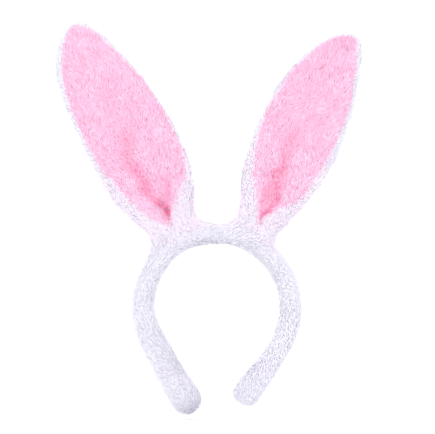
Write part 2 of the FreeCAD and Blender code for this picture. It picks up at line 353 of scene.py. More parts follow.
def tree_of(piece):
    points, _, triangles = mesh_arrays(piece)
    return BVHTree.FromPolygons(points.tolist(), triangles.tolist())


def straight_back(tree, start, reach=1000.0):
    """Where a ray from start towards +Y meets the tree, or None."""
    return tree.ray_cast(Vector(start), Vector((0, 1, 0)), reach)[0]


def relaxed(mesh, points, share, rounds):
    """Moves every vertex towards the middle of its neighbours, by its own share each round."""
    a, b = values_of(mesh.edges, "vertices", 2, int).T
    count = np.bincount(a, minlength=len(points)) + np.bincount(b, minlength=len(points))
    for _ in range(rounds):
        total = np.zeros_like(points)
        np.add.at(total, a, points[b])
        np.add.at(total, b, points[a])
        points = points + (total / count[:, None] - points) * share[:, None]
    return points


# ---- materials


def set_sockets(node, values):
    for socket, value in values.items():
        node.inputs[socket].default_value = value


def node_material(name):
    material = bpy.data.materials.new(name)
    material.use_nodes = True
    nodes = material.node_tree.nodes
    return material, nodes, material.node_tree.links, nodes["Principled BSDF"]


def mixed_colours(nodes, links, factor, first, second):
    mix = nodes.new("ShaderNodeMix")
    mix.data_type = "RGBA"
    links.new(factor, mix.inputs["Factor"])
    for socket, colour in (("A", first), ("B", second)):
        target = [i for i in mix.inputs if i.name == socket and i.type == "RGBA"][0]
        if isinstance(colour, tuple):
            target.default_value = (*colour, 1)
        else:
            links.new(colour, target)
    return [o for o in mix.outputs if o.type == "RGBA"][0]


def noise_factor(nodes, links, scale, low, high, detail=3.0):
    """Noise over the object, stretched so that low becomes 0 and high becomes 1."""
    place = nodes.new("ShaderNodeTexCoord")
    noise = nodes.new("ShaderNodeTexNoise")
    set_sockets(noise, {"Scale": scale, "Detail": detail})
    links.new(place.outputs["Object"], noise.inputs["Vector"])
    spread = nodes.new("ShaderNodeMapRange")
    set_sockets(spread, {"From Min": low, "From Max": high})
    links.new(noise.outputs["Fac"], spread.inputs["Value"])
    return spread.outputs["Result"]


def attribute(nodes, name):
    node = nodes.new("ShaderNodeAttribute")
    node.attribute_name = name
    return node.outputs["Fac"]


def add_bump(nodes, links, shader, height, strength, distance):
    bump = nodes.new("ShaderNodeBump")
    set_sockets(bump, {"Strength": strength, "Distance": distance})
    links.new(height, bump.inputs["Height"])
    links.new(bump.outputs["Normal"], shader.inputs["Normal"])


def pile_material(name, root, tip, patch, fold_shade_and_blush):
    """Combed pile: deeper at the roots as painted shade deep in the pile, pale at the tips, in soft patches, with
    a second colour laid on from a vertex attribute: painted shade in the pink lining's folds, a blush on the
    white.
    """
    material, nodes, links, shader = node_material(name)
    patches = noise_factor(nodes, links, 60.0, 0.36, 0.68)
    tips = mixed_colours(nodes, links, patches, tip, patch)
    # the darker root colour at each lock's foot is painted shade deep in the pile
    lock = mixed_colours(nodes, links, attribute(nodes, "along"), root, tips)
    # laid over with the painted fold shade on the pink, and with the blush on the white
    links.new(mixed_colours(nodes, links, attribute(nodes, "fold_shade_and_blush"), lock, fold_shade_and_blush),
              shader.inputs["Base Color"])
    set_sockets(shader, {"Roughness": 0.9, "Specular IOR Level": 0.1, "Sheen Weight": 0.25,
                         "Sheen Roughness": 0.5})
    return material


def cloth_material(name, colour, valley, scale=900.0):
    """Knitted backing under the pile. Its darker valley colour lies where the knit's bump is low, as painted shade
    in the recesses.
    """
    material, nodes, links, shader = node_material(name)
    knit = noise_factor(nodes, links, scale, 0.35, 0.7)
    links.new(mixed_colours(nodes, links, knit, valley, colour), shader.inputs["Base Color"])
    add_bump(nodes, links, shader, knit, 0.5, 0.0004)
    set_sockets(shader, {"Roughness": 0.9, "Sheen Weight": 0.3})
    return material


def hard_material(name, colour, worn, roughness, metallic, scale):
    """Moulded or drawn stock with fine marks."""
    material, nodes, links, shader = node_material(name)
    marks = noise_factor(nodes, links, scale, 0.4, 0.62, 6.0)
    links.new(mixed_colours(nodes, links, marks, colour, worn), shader.inputs["Base Color"])
    add_bump(nodes, links, shader, marks, 0.15, 0.0002)
    set_sockets(shader, {"Roughness": roughness, "Metallic": metallic})
    return material


# Colours are root, tip, patch and a last one. The white's last colour is a pink blush low on its ears; the pink's
# last colour is painted shade in the lining's folds.
WHITE_PILE = pile_material("white_pile", (0.86, 0.84, 0.94), (0.94, 0.93, 0.99), (0.91, 0.88, 0.98),
                           (0.99, 0.88, 0.985))
PINK_PILE = pile_material("pink_pile", (0.98, 0.54, 0.745), (0.99, 0.725, 0.895), (0.99, 0.63, 0.83),
                          (0.98, 0.31, 0.53))
# The second colour of each backing and thread is painted shade in the low parts of its bump.
WHITE_CLOTH = cloth_material("white_backing", (0.92, 0.91, 0.95), (0.84, 0.82, 0.90))
PINK_CLOTH = cloth_material("pink_backing", (0.97, 0.44, 0.62), (0.92, 0.34, 0.52))
WHITE_THREAD = cloth_material("white_thread", (0.88, 0.87, 0.90), (0.66, 0.64, 0.70), 2500.0)
PINK_THREAD = cloth_material("pink_thread", (0.90, 0.40, 0.56), (0.70, 0.24, 0.38), 2500.0)
STRIP_PLASTIC = hard_material("strip_plastic", (0.80, 0.80, 0.77), (0.70, 0.70, 0.66), 0.42, 0, 260.0)
WIRE_STEEL = hard_material("wire_steel", (0.52, 0.52, 0.54), (0.38, 0.38, 0.40), 0.38, 1, 900.0)


# ---- hoop


def flat(degrees, radius=1.0):
    """A point in the hoop's plane, as (x, z). Angles run from +X towards +Z."""
    turn = math.radians(degrees)
    return np.array([radius * math.cos(turn), radius * math.sin(turn)])


OUTER_CENTRE = np.array([0.0, -OUTER_DROP])


def leg_lines(arm):
    """Start, direction and outward normal of the inner leg, and the angle of the outer leg's normal."""
    outwards = flat(-arm["turn"])
    along = flat(-arm["turn"] - 90)
    centre = outwards * (HEAD_RADIUS + arm["tip_radius"]) + along * arm["leg"]
    to_tip = centre - OUTER_CENTRE
    spread = math.acos((OUTER_RADIUS - arm["tip_radius"]) / np.linalg.norm(to_tip))
    lean = math.atan2(to_tip[1], to_tip[0]) + spread
    return outwards * HEAD_RADIUS, along, outwards, lean


def thickness_at(start, outwards, lean):
    """From a point on the inner outline straight out to the outer outline."""
    offset = start - OUTER_CENTRE
    along = offset @ outwards
    reach = -along + math.sqrt(along**2 - offset @ offset + OUTER_RADIUS**2)
    hit = offset + outwards * reach
    if math.atan2(hit[1], hit[0]) >= lean:
        return reach
    normal = np.array([math.cos(lean), math.sin(lean)])
    return (OUTER_RADIUS - offset @ normal) / (outwards @ normal)


def section(arm, distance, inner, outwards, lean):
    """Inner point, outward way, thickness and two scales, with the swells of the stuffing."""
    thickness = thickness_at(inner, outwards, lean)
    for place, spread, inwards, away in arm["swells"]:
        share = math.exp(-(((distance - place) / spread) ** 2))
        inner = inner - outwards * inwards * share
        thickness += (inwards + away) * share
    return inner, outwards, thickness, 1.0, 1.0


def arm_stations(arm, spacing=1.6, end_steps=12, past_top=4.0):
    """Sections down one arm from just past the top."""
    leg_start, down, leg_out, lean = leg_lines(arm)
    stations = []
    arc_angle = 90 + arm["turn"]
    arc = math.radians(arc_angle) * HEAD_RADIUS
    for angle in np.linspace(-past_top, arc_angle, int(arc / spacing)):
        way = flat(90 - angle)
        stations.append(section(arm, math.radians(angle) * HEAD_RADIUS, way * HEAD_RADIUS, way, lean))
    for step in np.linspace(0, arm["leg"], int(arm["leg"] / spacing))[1:]:
        stations.append(section(arm, arc + step, leg_start + down * step, leg_out, lean))
    inner, outwards, thickness = stations[-1][:3]
    for turn in np.linspace(0, math.pi / 2, end_steps + 1)[1:-1]:
        beyond = inner + down * (thickness / 2 - PILE_INSET) * math.sin(turn)
        stations.append((beyond, outwards, thickness, math.cos(turn), math.cos(turn) ** END_FULLNESS))
    return stations


def hoop_half(name, arm, around=40):
    """One half of the padded hoop, from just past the top to the arm's rounded end."""
    stations = arm_stations(arm)
    angles = np.linspace(0, 2 * math.pi, around, endpoint=False)
    waves = np.array([np.cos(angles), np.sin(angles)])
    round_out, round_side = np.sign(waves) * np.abs(waves) ** (2 / SQUARENESS)
    rows = []
    for inner, outwards, thickness, thin, narrow in stations:
        middle = inner + outwards * thickness / 2
        depth = (thickness / 2 - PILE_INSET) * thin
        half = (HALF_WIDTH - PILE_INSET) * narrow
        plane = middle[None, :] + outwards[None, :] * (round_out * depth)[:, None]
        rows.append(np.stack([arm["side"] * plane[:, 0], round_side * half, plane[:, 1]], 1))
    faces = grid_faces(len(rows), around, around=True).tolist()
    ends = [list(range(around)), list(range((len(rows) - 1) * around, len(rows) * around))]
    piece = make_mesh(name, np.vstack(rows), faces + ends)
    tidy_mesh(piece)
    return piece


def hoop_flow(points):
    """The nap runs one way round the hoop, from the left tip over the crown to the right tip."""
    level = np.zeros(len(points))
    away = unit(np.stack([points[:, 0], level, points[:, 2] + OUTER_DROP], 1))
    round_hoop = np.stack([away[:, 2], level, -away[:, 0]], 1)
    side = np.sign(points[:, 0])
    leg = np.stack([level + LEG_NAP[0], level, LEG_NAP[1] * side], 1)
    low, high = [HEAD_RADIUS * share for share in LEG_NAP_FROM]
    on_leg = smoothstep(low, high, -points[:, 2])[:, None]
    return unit(round_hoop * (1 - on_leg) + leg * on_leg + away * NAP_OUTWARDS)


# ---- ears


def ear_axes(name):
    """The foot, the way across and the way along one ear, in the row frame."""
    joint = JOINTS[name + "_ear_fold"]
    across = np.array(joint["axis"], float)
    along = np.cross(across, (0, 1, 0))
    foot = np.array(joint["pos_m"], float) / MM - along * EAR_HINGE
    return foot, across, along


def to_row(name, flat_points, depth):
    """From an ear's flat points, and their places front to back, to the row frame."""
    foot, across, along = ear_axes(name)
    return (foot + flat_points[:, :1] * across + flat_points[:, 1:2] * along
            + depth[:, None] * np.array([[0, 1, 0]]))


def to_flat(name, points):
    """From the row frame to an ear's (across, along)."""
    foot, across, along = ear_axes(name)
    return np.stack([(points - foot) @ across, (points - foot) @ along], 1)


def valley(flat_points, line, shape):
    """A crease that follows line, deepest near the foot, with low banks, and gone at its end."""
    across, along = flat_points.T
    route = smooth_curve(line, 8)
    order = np.argsort(route[:, 1])
    middle = np.interp(along, route[order, 1], route[order, 0])
    share = np.clip((along - CREASE_START) / (shape["end"] - CREASE_START), 0, 1)
    width = shape["narrow"] + (shape["wide"] - shape["narrow"]) * share
    away = np.abs(across - middle) / width
    fade = (1 - share**1.5) * smoothstep(*CREASE_FADE, along)
    bank = BANK_HEIGHT * np.exp(-((away - BANK_PLACE) ** 2))
    return shape["depth"] * fade * (np.exp(-away**2) - bank)


def ruled(outline, rows, columns):
    """A flat grid between an outline's edges, closer together near them."""
    left, right = [evenly(line, rows) for line in edge_pair(outline)]
    share = (np.sin(np.linspace(-math.pi / 2, math.pi / 2, columns)) + 1) / 2
    grid = left[:, None, :] * (1 - share)[None, :, None] + right[:, None, :] * share[None, :, None]
    return grid.reshape(-1, 2)


def from_edge(flat_points, outline):
    """How far each flat point is from the outline."""
    lines = np.vstack([evenly(line, 260) for line in edge_pair(outline)])
    squares = ((flat_points[:, None, :] - lines[None, :, :]) ** 2).sum(-1)
    return np.sqrt(squares.min(1))


def both_sides(rows, columns):
    """Faces of a front grid and of a back grid numbered after it."""
    front = grid_faces(rows, columns)
    return np.vstack([front, front[:, ::-1] + rows * columns]).tolist()


def ear_body(name, ear, rows=120, columns=56):
    """A cupped pillow with a creased front. Its foot lies inside the hoop."""
    flat_points = ruled(ear["rim"], rows, columns)
    depth = from_edge(flat_points, ear["rim"])
    grid = flat_points.reshape(rows, columns, 2)
    middle = grid.mean(1)
    half_chord = np.linalg.norm(grid[:, -1] - grid[:, 0], axis=1) / 2
    middle[:, 1] -= np.maximum(TIP_DROP - half_chord, 0)
    inwards = unit(np.repeat(middle, columns, axis=0) - flat_points)
    flat_points = flat_points + inwards * (PILE_INSET * (1 - smoothstep(0, EDGE_ROUND, depth)))[:, None]
    across, along = flat_points.T
    round_off = np.sqrt(1 - (1 - np.clip(depth / EDGE_ROUND, 0, 1)) ** 2)
    full = np.interp(along, *np.array(EAR_HALF_THICKNESS, float).T)
    half = np.maximum(full * round_off, 0.05)
    cup = CUP_RADIUS - CUP_TIGHTER * np.clip(1 - along / CUP_OPENS, 0, 1)
    centre = -across**2 / (2 * cup) * smoothstep(*CUP_STARTS, along)
    dents = sum(ripple(flat_points, size, seed) * height for size, seed, height in DENTS) * round_off
    crease = valley(flat_points, ear["crease"], CREASE) + valley(flat_points, ear["branch"], BRANCH)
    back = centre + half + dents * BACK_DENTS
    front = centre - half + crease * round_off**2 + dents
    front = np.minimum(front, back - np.minimum(2 * half, LEAST_THICKNESS))
    points = np.vstack([to_row(name, flat_points, front), to_row(name, flat_points, back)])
    foot = list(range(columns)) + list(range(rows * columns + columns - 1, rows * columns - 1, -1))
    piece = make_mesh(name + "_ear_body", points, both_sides(rows, columns) + [foot])
    tidy_mesh(piece)
    return piece


def ear_lining(name, ear, skin_tree, rows=110, columns=44):
    """The pink panel, laid on the skin's front, with its rim sunk in it."""
    flat_points = ruled(ear["lining"], rows, columns)
    edge = from_edge(flat_points, ear["lining"])
    start = to_row(name, flat_points, np.full(len(flat_points), FAR_FRONT))
    depth = np.empty(len(flat_points))
    for index, point in enumerate(start):
        hit = straight_back(skin_tree, point)
        if hit is None:
            hit = skin_tree.find_nearest(Vector((point[0], JUST_IN_FRONT, point[2])))[0]
            flat_points[index] = to_flat(name, np.array([hit]))[0]
        depth[index] = hit.y
    proud = LINING_RAISED * smoothstep(0, LINING_RIM, edge) - LINING_SUNK
    points = np.vstack([to_row(name, flat_points, depth - proud),
                        to_row(name, flat_points, depth + LINING_BACK)])
    rim = []
    for row in range(rows - 1):
        for column in (0, columns - 1):
            a = row * columns + column
            b = a + columns
            rim.append([a, b, b + rows * columns, a + rows * columns])
    piece = make_mesh(name + "_ear_lining_panel", points, both_sides(rows, columns) + rim, PINK_CLOTH)
    tidy_mesh(piece)
    return piece


def ear_flow(name, fan):
    """Combed towards the tip, fanning out from the middle line."""
    foot, across, along = ear_axes(name)

    def flow(points):
        sideways = (points - foot) @ across
        return along[None, :] + across[None, :] * (fan * sideways / FAN_WIDTH)[:, None]
    return flow


# ---- one skin


def joined(pieces, name):
    """One piece made of several, which it takes away."""
    points, faces, first = [], [], 0
    for piece in pieces:
        points.append(read_points(piece.data))
        faces += [[first + i for i in face.vertices] for face in piece.data.polygons]
        first += len(piece.data.vertices)
        bpy.data.objects.remove(piece)
    return make_mesh(name, np.vstack(points), faces)


def nearness_to_roots(points):
    """1 where an ear meets the hoop, falling to 0 away from there."""
    share = np.zeros(len(points))
    for name, arm in ARMS.items():
        across, along = to_flat(name, points).T
        here = smoothstep(*ROOT_ZONE["below"], along) * (1 - smoothstep(*ROOT_ZONE["above"], along))
        here *= 1 - smoothstep(*ROOT_ZONE["beside"], np.abs(across))
        share = np.maximum(share, np.where(points[:, 0] * arm["side"] >= 0, here, 0))
    return share


def puffed(piece):
    """Blows the skin up as stuffed cloth, and lets no point move further than the limit."""
    rest = read_points(piece.data)
    cloth = piece.modifiers.new("stuffing", "CLOTH")
    cloth.settings.use_pressure = True
    cloth.settings.uniform_pressure_force = PRESSURE
    cloth.settings.effector_weights.gravity = 0
    cloth.settings.tension_stiffness = STRETCH_STIFFNESS
    cloth.settings.compression_stiffness = STRETCH_STIFFNESS
    cloth.settings.bending_stiffness = BENDING_STIFFNESS
    for step in range(1, PUFF_FRAMES + 1):
        bpy.context.scene.frame_set(step)
    shaped = piece.evaluated_get(bpy.context.evaluated_depsgraph_get()).data
    move = read_points(shaped) - rest
    piece.modifiers.clear()
    bpy.context.scene.frame_set(1)
    distance = np.linalg.norm(move, axis=1, keepdims=True)
    move *= np.minimum(1, PUFF_LIMIT / np.maximum(distance, 1e-9))
    write_points(piece.data, rest + move)


def whole_skin():
    """The hoop's halves and the ears melted into one skin, puffed up and smoothed."""
    bodies = [hoop_half("hoop_body_" + name, arm) for name, arm in ARMS.items()]
    bodies += [ear_body(name, ear) for name, ear in EARS.items()]
    skin = joined(bodies, "whole_skin")
    remesh = skin.modifiers.new("remesh", "REMESH")
    remesh.mode = "VOXEL"
    remesh.voxel_size = VOXEL * MM
    apply_modifiers(skin)
    points = read_points(skin.data)
    share, rounds = ROOT_SMOOTHING
    points = relaxed(skin.data, points, share * nearness_to_roots(points), rounds)
    share, rounds = SKIN_SMOOTHING
    points = relaxed(skin.data, points, np.full(len(points), share), rounds)
    write_points(skin.data, points)
    puffed(skin)
    division = skin.modifiers.new("division", "SUBSURF")
    division.levels = 1
    apply_modifiers(skin)
    skin.data.shade_smooth()
    return skin


def zone_of(points):
    """0 and 1 are the hoop's left and right halves, 2 and 3 the left and right ears."""
    side = (points[:, 0] > 0).astype(int)
    zones = side.copy()
    for number, name in enumerate(EARS):
        above = to_flat(name, points)[:, 1] > EAR_CUT
        zones[above & (side == number)] = 2 + number
    return zones


def skin_part(name, skin, wanted):
    """The skin's faces in one zone, with its open ends capped inside the neighbour."""
    work = bmesh.new()
    work.from_mesh(skin.data)
    centres = np.array([face.calc_center_median() for face in work.faces]) / MM
    zones = zone_of(centres)
    outside = [face for face, zone in zip(work.faces, zones) if zone != wanted]
    bmesh.ops.delete(work, geom=outside, context="FACES")
    rim = {edge for edge in work.edges if edge.is_boundary}
    while rim:
        edge = rim.pop()
        loop = [edge]
        reach = list(edge.verts)
        while reach:
            vert = reach.pop()
            for other in vert.link_edges:
                if other in rim:
                    rim.remove(other)
                    loop.append(other)
                    reach += list(other.verts)
        corners = {vert for item in loop for vert in item.verts}
        centre = sum((vert.co for vert in corners), Vector()) / len(corners)
        middle = work.verts.new(centre)
        for item in loop:
            a, b = item.verts
            work.faces.new((a, b, middle))
    bmesh.ops.recalc_face_normals(work, faces=work.faces)
    mesh = bpy.data.meshes.new(name)
    work.to_mesh(mesh)
    work.free()
    mesh.materials.append(WHITE_CLOTH)
    mesh.shade_smooth()
    return put(name, mesh)


# ---- pile


def scatter(piece, density):
    """Roots spread over a skin, with the skin's normal at each."""
    points, normals, triangles = mesh_arrays(piece)
    corners = points[triangles]
    areas = np.linalg.norm(np.cross(corners[:, 1] - corners[:, 0], corners[:, 2] - corners[:, 0]),
                           axis=1) / 2
    count = int(areas.sum() * density)
    chosen = RANDOM.choice(len(triangles), count, p=areas / areas.sum())
    a, b = RANDOM.random((2, count))
    flip = a + b > 1
    a[flip], b[flip] = 1 - a[flip], 1 - b[flip]
    weights = np.stack([1 - a - b, a, b], 1)[:, :, None]
    roots = (corners[chosen] * weights).sum(1)
    upright = unit((normals[triangles[chosen]] * weights).sum(1))
    return roots, upright


def lock_points(roots, upright, flow, look, share):
    """Seven points for each lock: three round the root, three half way and the tip."""
    count = len(roots)
    slope = (flow * upright).sum(1)
    flow = unit(flow - slope[:, None] * upright)
    length = look["length"] * RANDOM.uniform(*SPREAD["length"], count)
    length *= 1 - 0.45 * smoothstep(0.5, 1, slope)  # shorter where the nap points straight out
    length *= share
    width = look["width"] * RANDOM.uniform(*SPREAD["width"], count)
    swirl = look["swirl"] * ripple(roots, look["swirl_size"], look["seed"])
    swirl += FINE_SWIRL * look["swirl"] * ripple(roots, look["swirl_size"] / FINE_SIZE, look["seed"] + 1)
    swirl += RANDOM.normal(0, look["stray"], count)
    side = np.cross(upright, flow)
    combed = flow * np.cos(swirl)[:, None] + side * np.sin(swirl)[:, None]
    across = np.cross(upright, combed)
    rise = look["rise"] * RANDOM.uniform(*SPREAD["rise"], count)
    rise += 0.7 * smoothstep(0.45, 1, -slope)  # steeper where the nap runs into the skin
    half = (length / 2)[:, None]
    start = upright * np.sin(rise)[:, None] + combed * np.cos(rise)[:, None]
    finish = upright * np.sin(rise * TIP_RISE)[:, None] + combed * np.cos(rise * TIP_RISE)[:, None]
    base = roots - upright * LOCK_SUNK
    middle = roots + start * half
    tip = middle + finish * half

    leaders = RANDOM.permutation(count)[: max(count // look["clump"], 1)]
    clumps = KDTree(len(leaders))
    for leader in leaders:
        clumps.insert(middle[leader], int(leader))
    clumps.balance()
    nearest = np.array([clumps.find(point)[1] for point in middle.tolist()])
    tone = RANDOM.normal(0, look["streaks"], count)[nearest] + RANDOM.normal(0, LOCK_TONE, count)
    pull = look["pull"] * RANDOM.uniform(*SPREAD["pull"], count)[:, None]
    reach = tip[nearest] - tip
    reach -= (reach * upright).sum(1, keepdims=True) * upright * 0.5
    tip = tip + reach * pull
    middle = middle + reach * pull * 0.4

    thick = unit(np.cross(unit(tip - base), across))
    rings = []
    for centre, scale in ((base, 0.8), (middle, 1.0)):
        for angle in (90, 210, 330):
            turn = math.radians(angle)
            offset = across * math.cos(turn) + thick * (LOCK_RIDGE * math.sin(turn))
            rings.append(centre + offset * (width * scale / 2)[:, None])
    rings.append(tip)
    return np.stack(rings, 1), tone


def lay_out(mesh, count):
    """Gives each lock its own small cell of the texture map, root at the bottom."""
    side = math.ceil(math.sqrt(count))
    across = np.array([0.1, 0.5, 0.9] * 2 + [0.5])
    level = np.repeat((0.1, 0.5, 0.9), (3, 3, 1))
    cell = np.arange(count)
    u = (cell[:, None] % side + across[LOCK_CORNERS][None, :]) / side
    v = (cell[:, None] // side + level[LOCK_CORNERS][None, :]) / side
    layer = mesh.uv_layers.new(name="OFBake")
    layer.data.foreach_set("uv", np.stack([u, v], -1).astype(np.float32).ravel())


def lock_mesh(name, locks, tone, fold_shade_and_blush, material):
    """One piece of pile. Its materials read how far up a lock a point is, and the strength of the painted fold
    shade on the pink and of the blush on the white.
    """
    count = len(locks)
    mesh = bpy.data.meshes.new(name)
    mesh.vertices.add(count * LOCK_POINTS)
    mesh.vertices.foreach_set("co", (locks * MM).ravel())
    loops = (LOCK_CORNERS[None, :] + LOCK_POINTS * np.arange(count)[:, None]).ravel()
    totals = np.tile(LOCK_SIZES, count)
    starts = np.concatenate([[0], np.cumsum(totals)[:-1]])
    mesh.loops.add(len(loops))
    mesh.loops.foreach_set("vertex_index", loops.astype(np.int32))
    mesh.polygons.add(len(totals))
    mesh.polygons.foreach_set("loop_start", starts.astype(np.int32))
    mesh.polygons.foreach_set("loop_total", totals.astype(np.int32))
    mesh.update(calc_edges=True)
    along = np.clip(np.repeat(LOCK_LEVELS, (3, 3, 1))[None, :] + tone[:, None], 0, 1).ravel()
    # painted fold shade on the pink and blush on the white, varied with each lock's tone
    shade = np.repeat(np.clip(fold_shade_and_blush * (1 + 1.6 * tone), 0, 1), LOCK_POINTS)
    for label, values in (("along", along), ("fold_shade_and_blush", shade)):
        layer = mesh.attributes.new(label, "FLOAT", "POINT")
        layer.data.foreach_set("value", values.astype(np.float32))
    lay_out(mesh, count)
    mesh.materials.append(material)
    mesh.shade_flat()
    return put(name, mesh)


def make_pile(name, roots, upright, flow, fold_shade_and_blush, order, look, material, share=1.0):
    """Piles of at most MOST_LOCKS locks each, one after the other along order."""
    locks, tone = lock_points(roots, upright, flow, look, share)
    pieces = []
    parts = math.ceil(len(roots) / MOST_LOCKS)
    for number, chosen in enumerate(np.array_split(np.argsort(order, kind="stable"), parts), 1):
        label = name + (f"_{number}" if parts > 1 else "")
        pieces.append(lock_mesh(label, locks[chosen], tone[chosen], fold_shade_and_blush[chosen], material))
    return pieces


# ---- thread


def bars(name, centres, directions, ups, length, radius, material, sides=8, steps=7):
    """Short sunk stitches: each a rounded bar that bows up in its middle."""
    points, faces = [], []
    for centre, direction, up in zip(centres, directions, ups):
        side = np.cross(direction, up)
        first = len(points)
        for step in np.linspace(-1, 1, steps):
            middle = centre + direction * step * length / 2 + up * (1 - step**2) * radius * 1.6
            size = radius * math.sqrt(max(1 - abs(step) ** 4, 0.05))
            for turn in np.linspace(0, 2 * math.pi, sides, endpoint=False):
                points.append(middle + (up * math.cos(turn) + side * math.sin(turn)) * size)
        faces += (grid_faces(steps, sides, around=True) + first).tolist()
        faces += [list(range(first, first + sides))[::-1]]
        faces += [list(range(first + (steps - 1) * sides, first + steps * sides))]
    piece = make_mesh(name, np.array(points), faces, material)
    tidy_mesh(piece, 0.001)
    return piece


def stitches(name, tree, marks, headings, length, material=WHITE_THREAD):
    """Stitches on the skin nearest to each mark, pointing along each heading."""
    centres, directions, ups = [], [], []
    for mark, heading in zip(marks, headings):
        near, normal, _, _ = tree.find_nearest(Vector(mark))
        normal = np.array(normal)
        heading = np.array(heading, float)
        centres.append(np.array(near) + normal * THREAD_RADIUS * 0.4)
        directions.append(unit(heading - normal * (heading @ normal)))
        ups.append(normal)
    return bars(name, centres, directions, ups, length, THREAD_RADIUS, material)


def along_line(line, step):
    """Points every step along a line, and the way it runs at each."""
    count = max(int(np.linalg.norm(np.diff(line, axis=0), axis=1).sum() / step), 2)
    marks = evenly(line, count)
    return marks, unit(np.gradient(marks, axis=0))


def hoop_seam(name, arm, tree):
    """Ladder stitches along the inside of the hoop, where the sleeve is closed."""
    inner = np.array([station[0] for station in arm_stations(arm, past_top=-2.0)])
    line = np.stack([arm["side"] * inner[:, 0], np.zeros(len(inner)), inner[:, 1]], 1)
    marks, runs = along_line(line[:-6], SEAM["step"])
    headings = unit(runs * (1 - SEAM["slant"]) + np.array([0, SEAM["slant"], 0]))
    return stitches("hoop_" + name + "_closing_stitches", tree, marks, headings, SEAM["length"])


def tip_gathers(name, arm, tree):
    """Stitches that gather the sleeve over the end of the arm."""
    leg_start, down, outwards, _ = leg_lines(arm)
    middle = leg_start + down * arm["leg"] + outwards * arm["tip_radius"]
    end = middle + down * (arm["tip_radius"] - PILE_INSET)
    marks, headings = [], []
    for turn in np.linspace(0, 2 * math.pi, GATHERS["count"], endpoint=False):
        spoke = outwards * math.cos(turn)
        heading = np.array([arm["side"] * spoke[0], math.sin(turn), spoke[1]])
        marks.append(np.array([arm["side"] * end[0], 0, end[1]]) + heading * GATHERS["radius"])
        headings.append(heading)
    return stitches("hoop_" + name + "_tip_stitches", tree, marks, headings, GATHERS["length"])


def root_whips(name, tree):
    """Whip stitches that hold an ear to the hoop, front and back."""
    marks, headings = [], []
    _, across, along = ear_axes(name)
    for face in (-1, 1):
        for place in np.linspace(-WHIPS["reach"], WHIPS["reach"], WHIPS["count"]):
            mark = to_row(name, np.array([[place, WHIPS["height"]]]), np.array([face * WHIPS["depth"]]))
            marks.append(mark[0])
            headings.append(along + across * WHIPS["slant"])
    return stitches(name + "_ear_root_stitches", tree, marks, headings, WHIPS["length"])


def lining_stitches(name, ear, tree):
    """Stitches round the edge of the lining."""
    left, right = edge_pair(ear["lining"])
    rim = np.vstack([left, right[::-1][1:]])
    marks, runs = along_line(rim, LINING_SEAM["step"])
    places = to_row(name, marks, np.full(len(marks), FAR_FRONT))
    _, across, along = ear_axes(name)
    hits, headings = [], []
    for place, run in zip(places, runs):
        hit = straight_back(tree, place)
        if hit:
            hits.append(np.array(hit))
            headings.append(across * run[0] + along * run[1])
    return stitches(name + "_ear_lining_stitches", tree, hits, headings, LINING_SEAM["length"],
                    PINK_THREAD)


def tack(name, ear, tree):
    """Two crossed bars of thread over the crease, which hold the fold."""
    line = smooth_curve(ear["crease"], 8)
    place = line[np.argmin(np.abs(line[:, 1] - TACK["height"]))]
    start = to_row(name, np.array([[place[0], TACK["height"]]]), np.array([FAR_FRONT]))[0]
    hit = np.array(straight_back(tree, start))
    _, across, _ = ear_axes(name)
    return bars(name + "_ear_fold_tack", [hit + (0, -TACK["proud"], 0)] * 2,
                [across, unit(across + np.array([0, 0, TACK["slant"]]))], [np.array([0, -1.0, 0])] * 2,
                TACK["length"], THREAD_RADIUS * TACK["thickness"], PINK_THREAD)


# ---- assembly


def bend_with_arm(piece, name):
    """Bakes the piece's placement into its mesh."""
    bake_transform(piece)


def bend_with_ear(piece, name):
    """Bakes the piece's placement into its mesh."""
    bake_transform(piece)


def finish_and_bend(pieces, bend, name):
    """Passes each piece, with the arm's or ear's name, to the given function."""
    for piece in pieces:
        bend(piece, name)


def white_roots(skin, lining_trees):
    """Roots of all the white pile, each with its normal, nap, blush and zone. Zone -1 is left bare."""
    roots, upright = scatter(skin, WHITE_LOOK["density"])
    zones = zone_of(roots)
    flow = hoop_flow(roots)
    blush = np.zeros(len(roots))
    bare = np.zeros(len(roots), bool)
    for number, (name, ear) in enumerate(EARS.items()):
        near = (roots[:, 0] * ARMS[name]["side"] >= 0)
        place = to_flat(name, roots)
        on_ear = smoothstep(*ON_EAR, place[:, 1])[:, None] * near[:, None]
        flow = flow * (1 - on_ear) + ear_flow(name, EAR_FAN)(roots) * on_ear
        in_front = near & (upright[:, 1] < 0.3)
        tint = smoothstep(*BLUSH["rises"], place[:, 1]) * (1 - smoothstep(*BLUSH["falls"], place[:, 1]))
        blush = np.where(in_front, tint * BLUSH["strength"], blush)
        edge = from_edge(place, ear["lining"])
        inside = edge > RANDOM.uniform(*WHITE_OVERLAP, len(roots))
        for index in np.flatnonzero(in_front & inside & (zones == 2 + number)):
            ahead = roots[index] - (0, LINING_SEARCH, 0)
            bare[index] = straight_back(lining_trees[name], ahead, 2 * LINING_SEARCH) is not None
    zones[bare] = -1
    return roots, upright, flow, blush, zones


def white_pile(label, zone, pile, order_of):
    """The white pile of one zone, laid in the order that order_of gives its roots."""
    roots, upright, flow, blush = [values[pile[-1] == zone] for values in pile[:-1]]
    return make_pile(label, roots, upright, flow, blush, order_of(roots), WHITE_LOOK, WHITE_PILE)


